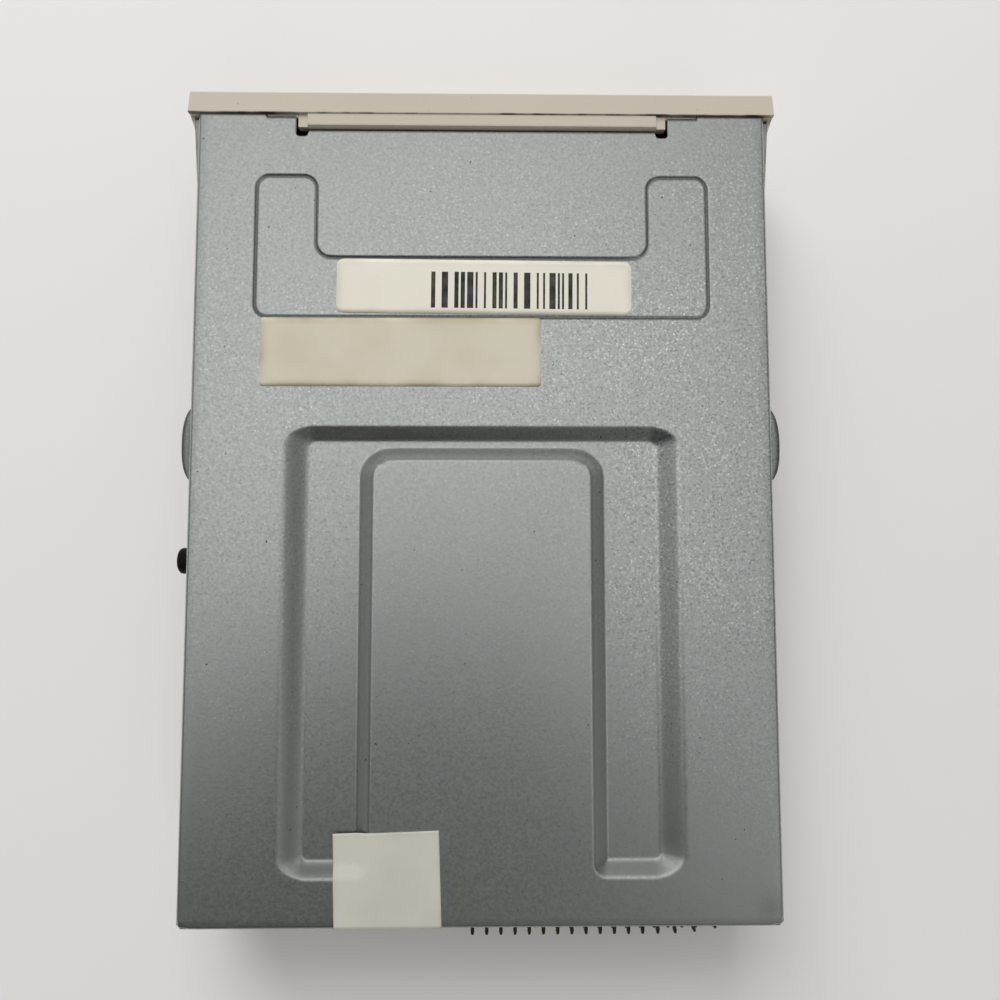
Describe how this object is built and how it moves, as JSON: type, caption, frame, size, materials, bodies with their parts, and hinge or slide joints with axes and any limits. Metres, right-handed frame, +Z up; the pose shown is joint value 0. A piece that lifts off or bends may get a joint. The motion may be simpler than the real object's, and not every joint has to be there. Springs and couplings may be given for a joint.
{
  "type": "floppy disk drive",
  "caption": "One-inch-high drive for 3.5-inch floppy disks: galvanised pressed cover with a sunk channel, plastic bezel with flap and eject button, pin header at the rear.",
  "frame": {"origin": "centre of the four bottom mounting holes, on the base plane", "axes": "+X to the right seen from the front, +Y to the rear connectors, +Z up through the cover"},
  "size_m": [0.1023, 0.148, 0.0256],
  "materials": {
    "chassis_steel": "zinc plated sheet",
    "cover_steel": "galvanised sheet with a fine spangle",
    "bezel_plastic": "fine texture, slightly yellowed",
    "flap_plastic": "fine texture",
    "spring_wire": "drawn wire",
    "button_plastic": "fine texture",
    "slide_steel": "zinc plated sheet",
    "black_plastic": "moulded, slightly worn",
    "holder_steel": "zinc plated sheet",
    "bright_steel": "ground",
    "lever_steel": "stamped",
    "rotor_steel": "drawn cup",
    "ferrite": "dull sintered",
    "bronze": "sintered, oiled",
    "core_steel": "laminated",
    "copper_wire": "enamelled wire",
    "motor_laminate": "coated board",
    "brass_turned": "turned",
    "screw_steel": "zinc plated",
    "motor_can": "drawn can",
    "clamp_cast": "die cast",
    "carriage_cast": "filled resin",
    "head_ceramic": "polished ferrite",
    "arm_plastic": "die cast",
    "main_laminate": "coated board",
    "chip_resin": "moulded",
    "capacitor_resin": "moulded",
    "header_plastic": "moulded",
    "contact_metal": "plated",
    "connector_plastic": "natural nylon",
    "lamp_lens": "tinted lens",
    "plunger_plastic": "moulded"
  },
  "bodies": {
    "drive": {"chassis_deck": "chassis_steel", "chassis_walls": "chassis_steel", "chassis_guides": "chassis_steel", "top_cover": "cover_steel", "front_bezel": "bezel_plastic", "flap_spring": "spring_wire", "eject_springs": "spring_wire", "bearing_bush": "bronze", "stator_core": "core_steel", "stator_coils": "copper_wire", "motor_board": "motor_laminate", "motor_spacers": "brass_turned", "motor_screws": "screw_steel", "stepper_motor": "motor_can", "stepper_bracket": "slide_steel", "bracket_screws": "screw_steel", "guide_rods": "bright_steel", "rod_clamps": "clamp_cast", "clamp_screws": "screw_steel", "track_zero_sensor": "black_plastic", "main_board": "main_laminate", "board_spacers": "brass_turned", "board_screws": "screw_steel", "board_chips": "chip_resin", "board_capacitors": "capacitor_resin", "signal_header": "header_plastic", "signal_pins": "contact_metal", "power_connector": "connector_plastic", "power_pins": "contact_metal", "activity_led": "lamp_lens", "switch_bodies": "header_plastic"},
    "flap": {"slot_flap": "flap_plastic"},
    "slide": {"eject_slide": "slide_steel", "eject_button": "button_plastic", "guide_stud": "black_plastic"},
    "holder": {"disk_holder": "holder_steel", "holder_pins": "bright_steel", "lever_pivot": "bright_steel", "lever_spring": "spring_wire"},
    "lever": {"shutter_lever": "lever_steel"},
    "rotor": {"rotor_cup": "rotor_steel", "ring_magnet": "ferrite", "hub_plate": "bright_steel", "spindle_shaft": "bright_steel", "drive_pin": "bright_steel"},
    "screw": {"lead_screw": "bright_steel"},
    "carriage": {"head_carriage": "carriage_cast", "lower_head": "head_ceramic", "arm_pin": "bright_steel", "arm_spring": "spring_wire"},
    "arm": {"upper_arm": "arm_plastic", "upper_head": "head_ceramic"},
    "protect": {"protect_plunger": "plunger_plastic"},
    "density": {"density_plunger": "plunger_plastic"},
    "presence": {"disk_plunger": "plunger_plastic"}
  },
  "joints": [
    {"name": "flap_swing", "type": "hinge", "parent": "drive", "child": "flap", "pos_m": [0, -0.0676, 0.0188], "axis": [1, 0, 0], "range_deg": [0, 83], "stiffness_Nm_per_rad": 0.0004, "deforming": ["flap_spring"]},
    {"name": "eject_travel", "type": "slide", "parent": "drive", "child": "slide", "axis": [0, -1, 0], "range_m": [0, 0.006], "deforming": ["eject_springs"]},
    {"name": "holder_drop", "type": "slide", "parent": "drive", "child": "holder", "axis": [0, 0, -1], "range_m": [0, 0.003]},
    {"name": "lever_swing", "type": "hinge", "parent": "holder", "child": "lever", "pos_m": [-0.034, 0.014, 0.0197], "axis": [0, 0, 1], "range_deg": [0, 73], "stiffness_Nm_per_rad": 0.002, "deforming": ["lever_spring"]},
    {"name": "spindle_spin", "type": "hinge", "parent": "drive", "child": "rotor", "pos_m": [0, -0.022, 0.0072], "axis": [0, 0, 1], "continuous": true},
    {"name": "screw_turn", "type": "hinge", "parent": "drive", "child": "screw", "pos_m": [0.027, 0.038, 0.0136], "axis": [0, 1, 0], "range_deg": [0, 1776]},
    {"name": "head_travel", "type": "slide", "parent": "drive", "child": "carriage", "axis": [0, -1, 0], "range_m": [0, 0.0148]},
    {"name": "arm_drop", "type": "hinge", "parent": "carriage", "child": "arm", "pos_m": [0, 0.044, 0.017], "axis": [1, 0, 0], "range_deg": [0, 9.5], "deforming": ["arm_spring"]},
    {"name": "protect_press", "type": "slide", "parent": "drive", "child": "protect", "axis": [0, 0, -1], "range_m": [0, 0.0012], "stiffness_N_per_m": 200},
    {"name": "density_press", "type": "slide", "parent": "drive", "child": "density", "axis": [0, 0, -1], "range_m": [0, 0.0012], "stiffness_N_per_m": 200},
    {"name": "presence_press", "type": "slide", "parent": "drive", "child": "presence", "axis": [0, 0, -1], "range_m": [0, 0.0012], "stiffness_N_per_m": 200}
  ],
  "couplings": [
    {"joint": "holder_drop", "follows": "eject_travel", "ratio": 0.5},
    {"joint": "arm_drop", "follows": "eject_travel", "rad_per_m": 27.6},
    {"joint": "screw_turn", "follows": "head_travel", "rad_per_m": 2094.4}
  ]
}
